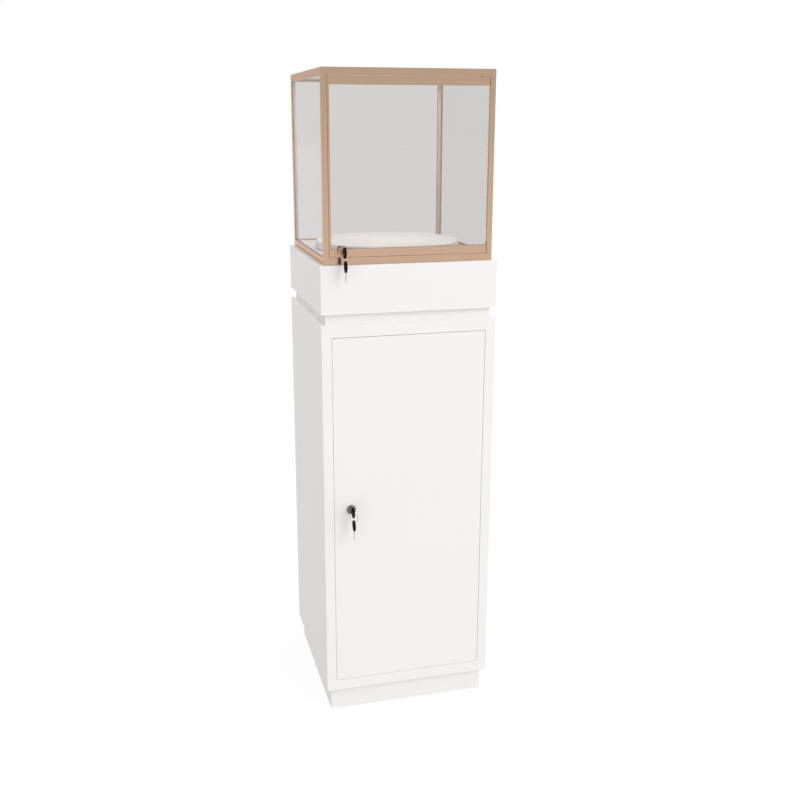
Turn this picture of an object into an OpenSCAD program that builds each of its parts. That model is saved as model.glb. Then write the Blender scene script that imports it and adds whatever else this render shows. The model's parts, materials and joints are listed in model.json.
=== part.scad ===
// Pedestal display case.
// A cabinet with a locked door stands on a recessed plinth. A deck box on top of it carries
// a glass case with its own locked door, and a turntable runs on balls inside the case.
// Millimetres. +X is right as seen from the front, the front faces -Y, +Z is up, and the
// origin is the middle of the plinth's underside. Both doors are shut and both locks open.

/* [Pedestal] */
// Width of the pedestal, side to side
body_w = 400; // [380:5:500]
// Depth of the pedestal, front to back
body_d = 400; // [380:5:500]
// Height of the plinth
plinth_h = 55; // [40:1:90]
// Height of the cabinet
cabinet_h = 888; // [700:1:1000]
// Height of the shadow gap under the deck box
shadow_gap_h = 25; // [15:1:40]
// Height of the deck box
deck_box_h = 106; // [70:1:150]
// Setback of the plinth and of the shadow gap
recess = 11; // [6:0.5:14]
// Thickness of the carcass boards
board_t = 15; // [12:0.5:16]

/* [Cabinet door] */
// Thickness of the door and of its face frame
door_t = 18; // [16:0.5:20]
// Width of the stiles left and right of the door
stile_w = 23; // [20:0.5:30]
// Height of the rail above the door
top_rail_h = 26; // [22:0.5:40]
// Height of the rail below the door
bottom_rail_h = 27; // [22:0.5:40]
// Gap all round the door
door_gap = 1; // [1:0.1:3]
// Diameter of the door's pivot pins
door_pin_d = 6; // [5:0.5:6.5]
// Distance of the pivot pins from the door's face
door_pin_back = 6; // [6:0.1:7.5]
// Height of the lock above the door's lower edge
door_lock_up = 432; // [200:0.5:600]
// Distance of the lock from the door's free edge
door_lock_in = 38.5; // [30:0.5:60]

/* [Glass case] */
// Height of the glass case
case_h = 406; // [300:1:600]
// Setback of the glass case from the edge of the deck box
case_inset = 10; // [5:0.5:14]
// Height of the frame's rails
rail_h = 16; // [14:0.5:24]
// Thickness of the side and back rails
rail_t = 9; // [8.5:0.5:14]
// Thickness of the front rails and of the posts
post_t = 12; // [11:0.5:16]
// Thickness of the glass
glass_t = 4; // [4:0.5:6]
// Depth of the grooves that hold the glass
groove_h = 3.5; // [2:0.5:4]
// Thickness of the roof panel
roof_t = 10; // [6:0.5:11]
// Width of the ledge that carries the roof panel
roof_ledge = 3; // [2:0.5:4]
// Thickness of the display floor
floor_t = 13; // [10:0.5:15]

/* [Glass door] */
// Gap between the glass door and the posts
glass_door_gap = 1; // [0.9:0.1:3]
// Gap above and below the glass door
glass_door_end_gap = 0.6; // [0.5:0.1:2]
// Height of the glass door's rails
glass_rail_h = 17.5; // [16:0.5:24]
// Width of the stile on the glass door's free edge
glass_stile_w = 4; // [3.5:0.1:8]
// Diameter of the glass door's pivot pins
glass_pin_d = 4; // [3:0.5:4.5]
// Distance of the glass door's pivot pins from its face
glass_pin_back = 5; // [5:0.1:6]
// Height of the lock above the glass door's lower edge
case_lock_up = 12.4; // [11.5:0.1:14]
// Distance of the lock from the glass door's free edge
case_lock_in = 28; // [25:0.5:60]
// How far the case lock's cam drops behind the frame's bottom rail
case_cam_catch = 9; // [5:0.5:10]
// How far the glass door's stop reaches past the left post
glass_stop_reach = 4.5; // [3:0.1:8]

/* [Turntable] */
// Gap between the disc and the frame's posts and front rails
disc_side_gap = 12; // [8:0.5:60]
// Thickness of the disc
disc_t = 16; // [14:0.5:24]
// Gap between the disc and the display floor
disc_gap = 2; // [1.5:0.1:2.8]
// Outer diameter of the ball bearing
bearing_d = 140; // [120:1:180]
// Width of the bearing's races
race_w = 25; // [24:0.5:40]
// Thickness of each race
race_t = 3; // [2.8:0.1:4]
// Diameter of the balls
ball_d = 5; // [4.6:0.1:5.4]
// Number of balls
ball_count = 40; // [12:1:60]

/* [Locks and keys] */
// Diameter of a lock's face
lock_face_d = 22; // [20:0.5:26]
// Height of the cabinet lock's face above the door
door_lock_proud = 2; // [1:0.5:4]
// Height of the case lock's face above the door
case_lock_proud = 5.5; // [3:0.5:8]
// Diameter of a lock's barrel
barrel_d = 16; // [14:0.5:18]
// Diameter of a lock's plug
plug_d = 11; // [10:0.5:11.5]
// Thickness of a lock's nut
nut_t = 4; // [3:0.5:5]
// Width of a lock's nut across its flats
nut_w = 22; // [20:0.5:22]
// Thickness of a cam
cam_t = 2; // [1.5:0.1:2.5]
// Width of a cam
cam_w = 12; // [10:0.5:14]
// Diameter of a key's head
key_head_d = 24; // [20:0.5:28]
// Thickness of a key's head
key_head_t = 3.5; // [3:0.1:4.5]
// Thickness of a key's blade
blade_t = 2; // [1.6:0.1:2.4]
// Width of a key's blade
blade_w = 7.5; // [6:0.1:8]
// Length of a key's blade
blade_l = 22; // [18:0.5:26]
// Diameter of the hole for the key ring
key_hole_d = 5; // [4.5:0.1:6]
// Diameter of the key ring's wire
ring_wire_d = 1.4; // [1:0.1:1.6]
// Diameter of the key ring, to the middle of its wire
ring_d = 17.7; // [15:0.1:24]

/* [Hidden] */
$fn = 64;

// Colours
white = [0.96, 0.95, 0.94];
champagne = [0.76, 0.64, 0.55];
clear = [0.80, 0.84, 0.84, 0.35];
steel = [0.66, 0.67, 0.68];
chrome = [0.82, 0.83, 0.85];
brass = [0.78, 0.66, 0.36];
black = [0.05, 0.05, 0.055];

// Clearances
over = 1;             // a cut's overshoot past the face that it opens
fit = 0.2;            // a panel or pane in its groove or between its neighbours
run = 0.05;           // radius: a pin or plug that turns in its bore
seat = 0.3;           // a moving piece over the piece that carries it or stops it
screw_fit = 0.05;     // radius: a fixed screw in its hole

// Levels
cabinet_top_z = plinth_h + cabinet_h;
box_z = cabinet_top_z + shadow_gap_h;
deck_z = box_z + deck_box_h;
case_top_z = deck_z + case_h;
floor_z = deck_z + floor_t;
low_rail_z = deck_z + rail_h;
high_rail_z = case_top_z - rail_h;
roof_z = case_top_z - roof_t;

// Half widths and half depths
body_x = body_w / 2;
body_y = body_d / 2;
inner_x = body_x - board_t;
inner_y = body_y - board_t;
set_x = body_x - recess;
set_y = body_y - recess;
case_x = body_x - case_inset;
case_y = body_y - case_inset;

// Cabinet door
frame_back_y = -body_y + door_t;
opening_x = body_x - stile_w;
door_x = opening_x - door_gap;
door_z0 = plinth_h + bottom_rail_h + door_gap;
door_z1 = cabinet_top_z - top_rail_h - door_gap;
corner_clear = 0.3;   // between the door's turning corner and the stile
door_slack = door_gap - corner_clear;
door_pivot_in = (pow(door_pin_back, 2) - pow(door_slack, 2)) / (2 * door_slack);
door_pivot = [door_x - door_pivot_in, -body_y + door_pin_back];
door_pin_in = 20;     // length of a pin in the door
bush_h = 12;          // depth of a bush in its rail
bush_wall = 1.5;
bush_flange = 1;      // how far a bush's flange reaches past its wall
pin_end = 1;          // between the end of a pin and the bottom of its hole
stop_w = 30;          // door stop: width, depth and reach below the door's upper edge
stop_d = 16;
stop_reach = 15;

// Glass door
glass_door_x = case_x - post_t - glass_door_gap;
glass_door_z0 = low_rail_z + glass_door_end_gap;
glass_door_z1 = high_rail_z - glass_door_end_gap;
glass_corner_clear = 0.25;
glass_slack = glass_door_gap - glass_corner_clear;
glass_pivot_in = (pow(glass_pin_back, 2) - pow(glass_slack, 2)) / (2 * glass_slack);
glass_pivot = [glass_door_x - glass_pivot_in, -case_y + glass_pin_back];
glass_pin_in = 10;
glass_bush_end = 0.5; // between the upper bush and the roof panel's seat
glass_bush_h = rail_h - roof_t - glass_bush_end;
glass_bush_wall = 1.2;
glass_bush_flange = 1;
front_pane_y = -case_y + (post_t - glass_t) / 2;
glass_stop_t = 3;
glass_stile_groove = 2;

// Glass in the frame: the outer lip of a groove, and the panes' outer faces
lip = 1.5;
side_pane_x = case_x - lip;
back_pane_y = case_y - lip;
pane_z0 = low_rail_z - groove_h + fit;
pane_z1 = high_rail_z + groove_h - fit;

// Locks
door_lock_at = [-door_x + door_lock_in, -body_y, door_z0 + door_lock_up];
case_lock_at = [-glass_door_x + case_lock_in, -case_y, glass_door_z0 + case_lock_up];
barrel_end = 1;       // how far the barrel reaches past its nut
plug_head_t = 2;
plug_head_rim = 1;    // how far the plug's head reaches past its core
plug_head_d = plug_d + 2 * plug_head_rim;
keyway_end = 1;       // between the tip of the blade and the bottom of the keyway
face_bevel = 1;
cam_square = 7;       // square end of the plug, which turns the cam
cam_root_d = cam_w + 2;
cam_gap = 0.3;        // between the barrel and the cam
cam_bend_r = 14;      // where a cam is bent forward, outside the nut
cam_forward = 0.7;    // between a cam's tip and what it moves behind
cam_side_gap = 1.5;   // between the cabinet cam's tip and the side board
cam_screw_d = 4;
cam_screw_head_d = 9;
cam_screw_head_t = 2.5;
cam_screw_l = 7;
cam_screw_end = 0.5;  // between the tip of the cam's screw and the bottom of its hole
door_cam_reach = door_lock_in + door_gap + stile_w - board_t - cam_side_gap;
case_cam_reach = case_lock_at[2] - low_rail_z + case_cam_catch;
door_lock_depth = door_t + nut_t + barrel_end;
case_lock_depth = post_t + nut_t + barrel_end;
keyway_gap = 0.2;

// Keys
key_neck = 7;         // from the lock's face to the head
key_neck_w = 10;
key_rim = 2;          // between the ring's hole and the rim of the head
key_hole_out = key_head_d / 2 - key_rim - key_hole_d / 2;
ring_play = 0.4;      // between the ring's wire and the edge of a key's hole
ring_drop = (key_hole_d - ring_wire_d) / 2 - ring_play;
key_hole_y = -key_neck - key_head_d / 2 - key_hole_out;
spare_hole_down = 2 * ring_drop + ring_d;
spare_blade_gap = 3;  // shoulder between the head and the blade

// Turntable
disc_d = 2 * (min(case_x, case_y) - post_t - disc_side_gap);
disc_z = floor_z + disc_gap;
disc_chamfer = 1;
race_r1 = bearing_d / 2;
race_r0 = race_r1 - race_w;
race_gap = 2;         // between the two races
ball_z = floor_z + race_t + race_gap / 2;
ball_r = race_r1 - race_w / 3;
ball_track = ball_d / 2 + fit;
pocket_gap = 1;       // between the races and the pocket in the disc
pocket_z = floor_z + 2 * race_t + race_gap;
race_screw_in = 6;    // from the race's inner edge to the middle of a screw
race_screw_r = race_r0 + race_screw_in;
race_screw_d = 3;
race_screw_head_d = 6;
race_screw_head_t = 1.5;
race_screw_l = 10;
race_screw_count = 4;

// Slot in the display floor for the case lock's cam
cam_corner = norm([case_cam_reach, cam_w / 2]);
cam_over_floor = case_lock_at[2] - floor_z;
slot_clear = 2;
slot_under = 1;
slot_x0 = case_lock_at[0] - cam_w / 2 - slot_clear;
slot_x1 = case_lock_at[0] + slot_clear + sqrt(max(0, pow(cam_corner, 2) - pow(cam_over_floor, 2)));
slot_y = -case_y + case_lock_depth + cam_gap + cam_t + slot_clear;
slot_z = case_lock_at[2] - cam_corner - slot_under;

// ---- Shapes that repeat ----

// A block between two opposite corners
module block(low, high) {
    translate(low) cube(high - low);
}

// A round bar along Z that stands at a point of the plan
module bar_z(d, at, z0, z1) {
    translate([at[0], at[1], z0]) cylinder(d = d, h = z1 - z0);
}

// A round bar along Y, round the Y axis
module bar_y(d, y0, y1) {
    translate([0, y0, 0]) rotate([-90, 0, 0]) cylinder(d = d, h = y1 - y0);
}

// A round bar along X, round the point [y, z]
module bar_x(d, y, z, x0, x1) {
    translate([x0, y, z]) rotate([0, 90, 0]) cylinder(d = d, h = x1 - x0);
}

// The children and their mirror image on the other side
module left_and_right() {
    children();
    mirror([1, 0, 0]) children();
}

// A flanged bush that stands in a hole, with its flange on top of the face at z = 0
module bush(pin_d, wall, flange, depth, flange_t) {
    difference() {
        union() {
            translate([0, 0, -depth]) cylinder(d = pin_d + 2 * wall, h = depth);
            cylinder(d = pin_d + 2 * wall + 2 * flange, h = flange_t);
        }
        translate([0, 0, -depth - over])
            cylinder(d = pin_d + 2 * run, h = depth + flange_t + 2 * over);
    }
}

// Lock body along +Y: a bevelled face in front of y = 0, and a barrel with the plug's bore
module lock_body(proud, depth) {
    difference() {
        union() {
            translate([0, -proud, 0]) rotate([-90, 0, 0])
                cylinder(d1 = lock_face_d - 2 * face_bevel, d2 = lock_face_d, h = face_bevel);
            bar_y(lock_face_d, -proud + face_bevel, 0);
            bar_y(barrel_d, 0, depth);
        }
        bar_y(plug_head_d + 2 * run, -proud - over, -proud + plug_head_t + run);
        bar_y(plug_d + 2 * run, -proud, depth + over);
    }
}

// Hexagonal nut on the barrel, flats up and down
module lock_nut(thick) {
    difference() {
        translate([0, thick, 0]) rotate([-90, 0, 0])
            cylinder(d = nut_w / cos(30), h = nut_t, $fn = 6);
        bar_y(barrel_d + 2 * screw_fit, thick - over, thick + nut_t + over);
    }
}

// Plug: a head in the face, a barrel-long core, and a square end that turns the cam
module lock_plug(proud, depth) {
    slot = blade_w + 2 * keyway_gap;
    difference() {
        union() {
            bar_y(plug_head_d, -proud, -proud + plug_head_t);
            bar_y(plug_d, -proud + plug_head_t, depth + cam_gap);
            block([-cam_square / 2, depth + cam_gap, -cam_square / 2],
                [cam_square / 2, depth + cam_gap + cam_t, cam_square / 2]);
        }
        block([-blade_t / 2 - keyway_gap, -proud - over, -slot / 2],
            [blade_t / 2 + keyway_gap, -proud + blade_l - key_neck + keyway_end, slot / 2]);
        bar_y(cam_screw_d + 2 * screw_fit, depth + cam_gap + cam_t - cam_screw_l,
            depth + cam_gap + cam_t + over);
    }
}

// Cam that points to +X: a plate on the plug's square end, bent forward outside the nut
module lock_cam(thick, depth, reach) {
    back = depth + cam_gap;
    front = thick + cam_forward;
    difference() {
        union() {
            bar_y(cam_root_d, back, back + cam_t);
            block([0, back, -cam_w / 2], [cam_bend_r + cam_t, back + cam_t, cam_w / 2]);
            block([cam_bend_r, front, -cam_w / 2], [cam_bend_r + cam_t, back + cam_t, cam_w / 2]);
            block([cam_bend_r, front, -cam_w / 2], [reach, front + cam_t, cam_w / 2]);
        }
        hole = cam_square / 2 + screw_fit;
        block([-hole, back - over, -hole], [hole, back + cam_t + over, hole]);
    }
}

// Screw that holds the cam on the plug
module cam_screw(depth) {
    back = depth + cam_gap + cam_t;
    bar_y(cam_screw_d, back - cam_screw_l + cam_screw_end, back);
    bar_y(cam_screw_head_d, back, back + cam_screw_head_t);
}

// Key, blade along +Y with its shoulder at y = 0 and its head in front, edge on to the front
module key() {
    difference() {
        union() {
            bar_x(key_head_d, -key_neck - key_head_d / 2, 0, -key_head_t / 2, key_head_t / 2);
            block([-key_head_t / 2, -key_neck - key_head_d / 4, -key_neck_w / 2],
                [key_head_t / 2, -seat, key_neck_w / 2]);
            block([-blade_t / 2, -seat - over, -blade_w / 2],
                [blade_t / 2, blade_l - key_neck, blade_w / 2]);
        }
        bar_x(key_hole_d, key_hole_y, 0, -key_head_t, key_head_t);
    }
}

// Spare key that hangs by the hole in its head at [0, 0, 0], blade down
module spare_key() {
    head_z = -key_hole_out;
    blade_z = head_z - key_head_d / 2 - blade_l;
    difference() {
        union() {
            bar_x(key_head_d, 0, head_z, -key_head_t / 2, key_head_t / 2);
            block([-key_head_t / 2, -key_neck_w / 2, head_z - key_head_d / 2 - spare_blade_gap],
                [key_head_t / 2, key_neck_w / 2, head_z - key_head_d / 4]);
            block([-blade_t / 2, -blade_w / 2, blade_z],
                [blade_t / 2, blade_w / 2, head_z - key_head_d / 2]);
        }
        bar_x(key_hole_d, 0, 0, -key_head_t, key_head_t);
    }
}

// Key ring through the hole of the key in the lock and the hole of the spare key
module key_ring() {
    translate([0, key_hole_y, -ring_drop - ring_d / 2]) rotate([90, 0, 0])
        rotate_extrude() translate([ring_d / 2, 0]) circle(d = ring_wire_d, $fn = 24);
}

// Places of the two locks: the plug's axis in the face of the door
module at_door_lock() {
    translate(door_lock_at) children();
}

module at_case_lock() {
    translate(case_lock_at) children();
}

// Section of a rail of the glass case in plan direction u and height v: outer face at u = 0.
// The groove for the glass opens at the top, and a ledge for the roof at the bottom.
module rail_section(ledge) {
    difference() {
        square([rail_t, rail_h]);
        translate([lip - fit, rail_h - groove_h]) square([glass_t + 2 * fit, groove_h + over]);
        if (ledge)
            translate([rail_t - roof_ledge, -over]) square([roof_ledge + over, roof_t + over]);
    }
}

// A rail along +Y of length l, outer face at x = 0, lower face at z = 0
module bottom_rail_y(l) {
    translate([0, l, 0]) rotate([90, 0, 0]) linear_extrude(l) rail_section(false);
}

// The same rail turned over for the top, with its ledge: lower face at z = 0
module top_rail_y(l) {
    translate([0, l, rail_h]) rotate([90, 0, 0]) linear_extrude(l)
        mirror([0, 1]) rail_section(true);
}

// Four corners of the bearing's screws
module at_race_screws() {
    for (k = [0 : race_screw_count - 1])
        rotate([0, 0, 45 + k * 360 / race_screw_count]) translate([race_screw_r, 0, 0])
            children();
}

// Countersunk screw that points down, head flush with z = 0, made larger by a clearance
module race_screw(clear_r) {
    translate([0, 0, -race_screw_l]) cylinder(d = race_screw_d + 2 * clear_r, h = race_screw_l);
    translate([0, 0, -race_screw_head_t])
        cylinder(d1 = race_screw_d + 2 * clear_r, d2 = race_screw_head_d + 2 * clear_r,
            h = race_screw_head_t);
}

// Race ring with its ball track in the upper face
module race() {
    rotate_extrude($fn = 128) difference() {
        translate([race_r0, 0]) square([race_w, race_t]);
        translate([ball_r, race_t + race_gap / 2]) circle(r = ball_track, $fn = 48);
    }
}

// ---- Plinth ----

module plinth_front_board() {
    color(white) block([-set_x, -set_y, 0], [set_x, -set_y + board_t, plinth_h]);
}

module plinth_back_board() {
    color(white) block([-set_x, set_y - board_t, 0], [set_x, set_y, plinth_h]);
}

module plinth_side_boards() {
    color(white) left_and_right()
        block([set_x - board_t, -set_y + board_t, 0], [set_x, set_y - board_t, plinth_h]);
}

// ---- Cabinet ----

module cabinet_floor() {
    color(white) block([-inner_x, frame_back_y, plinth_h],
        [inner_x, inner_y, plinth_h + board_t]);
}

module cabinet_top() {
    color(white) block([-inner_x, frame_back_y, cabinet_top_z - board_t],
        [inner_x, inner_y, cabinet_top_z]);
}

module cabinet_left_side() {
    color(white) block([-body_x, frame_back_y, plinth_h], [-inner_x, body_y, cabinet_top_z]);
}

module cabinet_right_side() {
    color(white) block([inner_x, frame_back_y, plinth_h], [body_x, body_y, cabinet_top_z]);
}

module cabinet_back() {
    color(white) block([-inner_x, inner_y, plinth_h], [inner_x, body_y, cabinet_top_z]);
}

module left_stile() {
    color(white) block([-body_x, -body_y, plinth_h], [-opening_x, frame_back_y, cabinet_top_z]);
}

module right_stile() {
    color(white) block([opening_x, -body_y, plinth_h], [body_x, frame_back_y, cabinet_top_z]);
}

// Hole for a pivot bush of the cabinet door
module door_bush_hole(z0, z1) {
    bar_z(door_pin_d + 2 * bush_wall + 2 * screw_fit, door_pivot, z0, z1);
}

module top_rail() {
    z0 = cabinet_top_z - top_rail_h;
    color(white) difference() {
        block([-opening_x, -body_y, z0], [opening_x, frame_back_y, cabinet_top_z]);
        door_bush_hole(z0 - over, z0 + bush_h);
    }
}

module bottom_rail() {
    z1 = plinth_h + bottom_rail_h;
    color(white) difference() {
        block([-opening_x, -body_y, plinth_h], [opening_x, frame_back_y, z1]);
        door_bush_hole(z1 - bush_h, z1 + over);
    }
}

module door_stop() {
    color(white) block([-door_x + seat, frame_back_y + seat, door_z1 - stop_reach],
        [-door_x + seat + stop_w, frame_back_y + seat + stop_d, cabinet_top_z - board_t]);
}

module door_pivot_bushes() {
    color(brass) {
        translate([door_pivot[0], door_pivot[1], plinth_h + bottom_rail_h])
            bush(door_pin_d, bush_wall, bush_flange, bush_h, door_gap - seat);
        translate([door_pivot[0], door_pivot[1], cabinet_top_z - top_rail_h]) mirror([0, 0, 1])
            bush(door_pin_d, bush_wall, bush_flange, bush_h, door_gap - seat);
    }
}

// ---- Shadow gap and deck box ----

module shadow_gap_board() {
    color(white) block([-set_x, -set_y, cabinet_top_z], [set_x, set_y, box_z]);
}

module box_floor() {
    color(white) block([-inner_x, -inner_y, box_z], [inner_x, inner_y, box_z + board_t]);
}

module box_deck() {
    color(white) block([-inner_x, -inner_y, deck_z - board_t], [inner_x, inner_y, deck_z]);
}

module box_front() {
    color(white) block([-body_x, -body_y, box_z], [body_x, -inner_y, deck_z]);
}

module box_back() {
    color(white) block([-body_x, inner_y, box_z], [body_x, body_y, deck_z]);
}

module box_side_boards() {
    color(white) left_and_right()
        block([inner_x, -inner_y, box_z], [body_x, inner_y, deck_z]);
}

// ---- Frame and glass of the case ----

module case_front_posts() {
    color(champagne) left_and_right()
        block([case_x - post_t, -case_y, low_rail_z], [case_x, -case_y + post_t, high_rail_z]);
}

module case_rear_posts() {
    color(champagne) left_and_right()
        block([case_x - post_t, case_y - post_t, low_rail_z], [case_x, case_y, high_rail_z]);
}

// Hole for a pivot bush of the glass door
module glass_bush_hole(z0, z1) {
    bar_z(glass_pin_d + 2 * glass_bush_wall + 2 * screw_fit, glass_pivot, z0, z1);
}

// The upper front rail has the ledge that carries the roof panel's front edge
module case_front_rails() {
    back = -case_y + post_t;
    color(champagne) {
        difference() {
            block([-case_x, -case_y, deck_z], [case_x, back, low_rail_z]);
            glass_bush_hole(low_rail_z - glass_bush_h, low_rail_z + over);
        }
        difference() {
            block([-case_x, -case_y, high_rail_z], [case_x, back, case_top_z]);
            glass_bush_hole(high_rail_z - over, high_rail_z + glass_bush_h);
            block([-case_x + rail_t - roof_ledge, back - roof_ledge, roof_z],
                [case_x - rail_t + roof_ledge, back + over, case_top_z + over]);
        }
    }
}

// Rails along the back, between the side rails
module case_back_rails() {
    l = 2 * (case_x - rail_t);
    color(champagne) translate([-l / 2, case_y, 0]) rotate([0, 0, -90]) {
        translate([0, 0, deck_z]) bottom_rail_y(l);
        translate([0, 0, high_rail_z]) top_rail_y(l);
    }
}

module case_bottom_side_rails() {
    color(champagne) left_and_right() translate([-case_x, -case_y + post_t, deck_z])
        bottom_rail_y(2 * case_y - post_t);
}

module case_top_side_rails() {
    color(champagne) left_and_right() translate([-case_x, -case_y + post_t, high_rail_z])
        top_rail_y(2 * case_y - post_t);
}

module side_glass_panes() {
    color(clear) left_and_right()
        block([side_pane_x - glass_t, -case_y + post_t + fit, pane_z0],
            [side_pane_x, case_y - post_t - fit, pane_z1]);
}

module back_glass() {
    half = case_x - post_t - fit;
    color(clear) block([-half, back_pane_y - glass_t, pane_z0], [half, back_pane_y, pane_z1]);
}

// Roof panel on the ledges of the upper rails
module roof_panel() {
    half = case_x - rail_t + roof_ledge - fit;
    color(white) block([-half, -case_y + post_t - roof_ledge + fit, roof_z],
        [half, case_y - rail_t + roof_ledge - fit, case_top_z]);
}

// Floor panel inside the bottom rails, with the slot that the case lock's cam drops into
module display_floor() {
    half = case_x - rail_t - fit;
    front = -case_y + post_t + fit;
    color(white) difference() {
        block([-half, front, deck_z], [half, case_y - rail_t - fit, floor_z]);
        block([slot_x0, front - over, slot_z], [slot_x1, slot_y, floor_z + over]);
        translate([0, 0, floor_z + race_t]) at_race_screws() race_screw(screw_fit);
    }
}

module glass_door_bushes() {
    color(brass) {
        translate([glass_pivot[0], glass_pivot[1], low_rail_z])
            bush(glass_pin_d, glass_bush_wall, glass_bush_flange, glass_bush_h,
                glass_door_end_gap - seat);
        translate([glass_pivot[0], glass_pivot[1], high_rail_z]) mirror([0, 0, 1])
            bush(glass_pin_d, glass_bush_wall, glass_bush_flange, glass_bush_h,
                glass_door_end_gap - seat);
    }
}

// Upright stop behind the free edge of the glass door, on the inner lip of the left side rails
module glass_door_stop() {
    x0 = -side_pane_x + glass_t + fit;
    y0 = -case_y + post_t + seat;
    color(champagne) block([x0, y0, low_rail_z],
        [-case_x + post_t + glass_stop_reach, y0 + glass_stop_t, high_rail_z]);
}

// ---- Turntable ----

module bearing_lower_race() {
    color(steel) difference() {
        translate([0, 0, floor_z]) race();
        translate([0, 0, floor_z + race_t]) at_race_screws() race_screw(screw_fit);
    }
}

module bearing_upper_race() {
    color(steel) translate([0, 0, pocket_z]) mirror([0, 0, 1]) race();
}

module bearing_screws() {
    color(steel) translate([0, 0, floor_z + race_t]) at_race_screws() race_screw(0);
}

module bearing_balls() {
    color(chrome) for (k = [0 : ball_count - 1])
        rotate([0, 0, k * 360 / ball_count]) translate([ball_r, 0, ball_z])
            sphere(d = ball_d, $fn = 24);
}

// Disc with a chamfered rim and a pocket underneath that holds the bearing
module turntable_disc() {
    r = disc_d / 2;
    z1 = disc_z + disc_t;
    pocket_r = race_r1 + pocket_gap;
    color(white) rotate_extrude($fn = 180) polygon([
        [0, pocket_z], [pocket_r, pocket_z], [pocket_r, disc_z], [r - disc_chamfer, disc_z],
        [r, disc_z + disc_chamfer], [r, z1 - disc_chamfer], [r - disc_chamfer, z1], [0, z1],
    ]);
}

// ---- Cabinet door and its lock ----

module cabinet_door() {
    pin_hole_d = door_pin_d + 2 * screw_fit;
    color(white) difference() {
        block([-door_x, -body_y, door_z0], [door_x, frame_back_y, door_z1]);
        at_door_lock() bar_y(barrel_d + 2 * screw_fit, -over, door_t + over);
        bar_z(pin_hole_d, door_pivot, door_z0 - over, door_z0 + door_pin_in);
        bar_z(pin_hole_d, door_pivot, door_z1 - door_pin_in, door_z1 + over);
    }
}

module door_pivot_pins() {
    out = door_gap + bush_h - pin_end;
    color(steel) {
        bar_z(door_pin_d, door_pivot, door_z0 - out, door_z0 + door_pin_in);
        bar_z(door_pin_d, door_pivot, door_z1 - door_pin_in, door_z1 + out);
    }
}

module cabinet_lock_body() {
    color(chrome) at_door_lock() lock_body(door_lock_proud, door_lock_depth);
}

module cabinet_lock_nut() {
    color(steel) at_door_lock() lock_nut(door_t);
}

module cabinet_lock_plug() {
    color(steel) at_door_lock() lock_plug(door_lock_proud, door_lock_depth);
}

// The cam hangs down while the lock is open
module cabinet_lock_cam() {
    color(steel) at_door_lock() rotate([0, 90, 0])
        lock_cam(door_t, door_lock_depth, door_cam_reach);
}

module cabinet_lock_cam_screw() {
    color(steel) at_door_lock() cam_screw(door_lock_depth);
}

module cabinet_key() {
    color(black) at_door_lock() translate([0, -door_lock_proud, 0]) key();
}

module cabinet_key_ring() {
    color(steel) at_door_lock() translate([0, -door_lock_proud, 0]) key_ring();
}

module cabinet_spare_key() {
    color(black) at_door_lock()
        translate([0, -door_lock_proud + key_hole_y, -spare_hole_down]) spare_key();
}

// ---- Glass door and its lock ----

// Hole for the case lock, through the bottom rail's upper edge and a notch of the glass
module case_lock_hole() {
    at_case_lock() bar_y(barrel_d + 2 * screw_fit, -over, post_t + over);
}

module glass_door_pane() {
    color(clear) difference() {
        block([-glass_door_x + glass_stile_w - glass_stile_groove + fit, front_pane_y,
                glass_door_z0 + glass_rail_h - groove_h + fit],
            [glass_door_x, front_pane_y + glass_t,
                glass_door_z1 - glass_rail_h + groove_h - fit]);
        case_lock_hole();
    }
}

// One rail of the glass door: its groove and its pin hole open to either side
module glass_door_rail(z0, groove_z, pin_z0, pin_z1) {
    difference() {
        block([-glass_door_x, -case_y, z0],
            [glass_door_x, -case_y + post_t, z0 + glass_rail_h]);
        block([-glass_door_x - over, front_pane_y - fit, groove_z],
            [glass_door_x + over, front_pane_y + glass_t + fit, groove_z + groove_h + over]);
        bar_z(glass_pin_d + 2 * screw_fit, glass_pivot, pin_z0, pin_z1);
    }
}

module glass_door_bottom_rail() {
    z0 = glass_door_z0;
    color(champagne) difference() {
        glass_door_rail(z0, z0 + glass_rail_h - groove_h, z0 - over, z0 + glass_pin_in);
        case_lock_hole();
    }
}

module glass_door_top_rail() {
    z0 = glass_door_z1 - glass_rail_h;
    color(champagne)
        glass_door_rail(z0, z0 - over, glass_door_z1 - glass_pin_in, glass_door_z1 + over);
}

// Stile between the two rails on the free edge, with a groove for the pane's edge
module glass_door_stile() {
    x1 = -glass_door_x + glass_stile_w;
    z0 = glass_door_z0 + glass_rail_h;
    z1 = glass_door_z1 - glass_rail_h;
    color(champagne) difference() {
        block([-glass_door_x, -case_y, z0], [x1, -case_y + post_t, z1]);
        block([x1 - glass_stile_groove, front_pane_y - fit, z0 - over],
            [x1 + over, front_pane_y + glass_t + fit, z1 + over]);
    }
}

module glass_door_pins() {
    out = glass_door_end_gap + glass_bush_h - pin_end;
    color(steel) {
        bar_z(glass_pin_d, glass_pivot, glass_door_z0 - out, glass_door_z0 + glass_pin_in);
        bar_z(glass_pin_d, glass_pivot, glass_door_z1 - glass_pin_in, glass_door_z1 + out);
    }
}

module case_lock_body() {
    color(chrome) at_case_lock() lock_body(case_lock_proud, case_lock_depth);
}

module case_lock_nut() {
    color(steel) at_case_lock() lock_nut(post_t);
}

module case_lock_plug() {
    color(steel) at_case_lock() lock_plug(case_lock_proud, case_lock_depth);
}

// The cam points to the right while the lock is open
module case_lock_cam() {
    color(steel) at_case_lock() lock_cam(post_t, case_lock_depth, case_cam_reach);
}

module case_lock_cam_screw() {
    color(steel) at_case_lock() cam_screw(case_lock_depth);
}

module case_key() {
    color(black) at_case_lock() translate([0, -case_lock_proud, 0]) key();
}

module case_key_ring() {
    color(steel) at_case_lock() translate([0, -case_lock_proud, 0]) key_ring();
}

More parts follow.
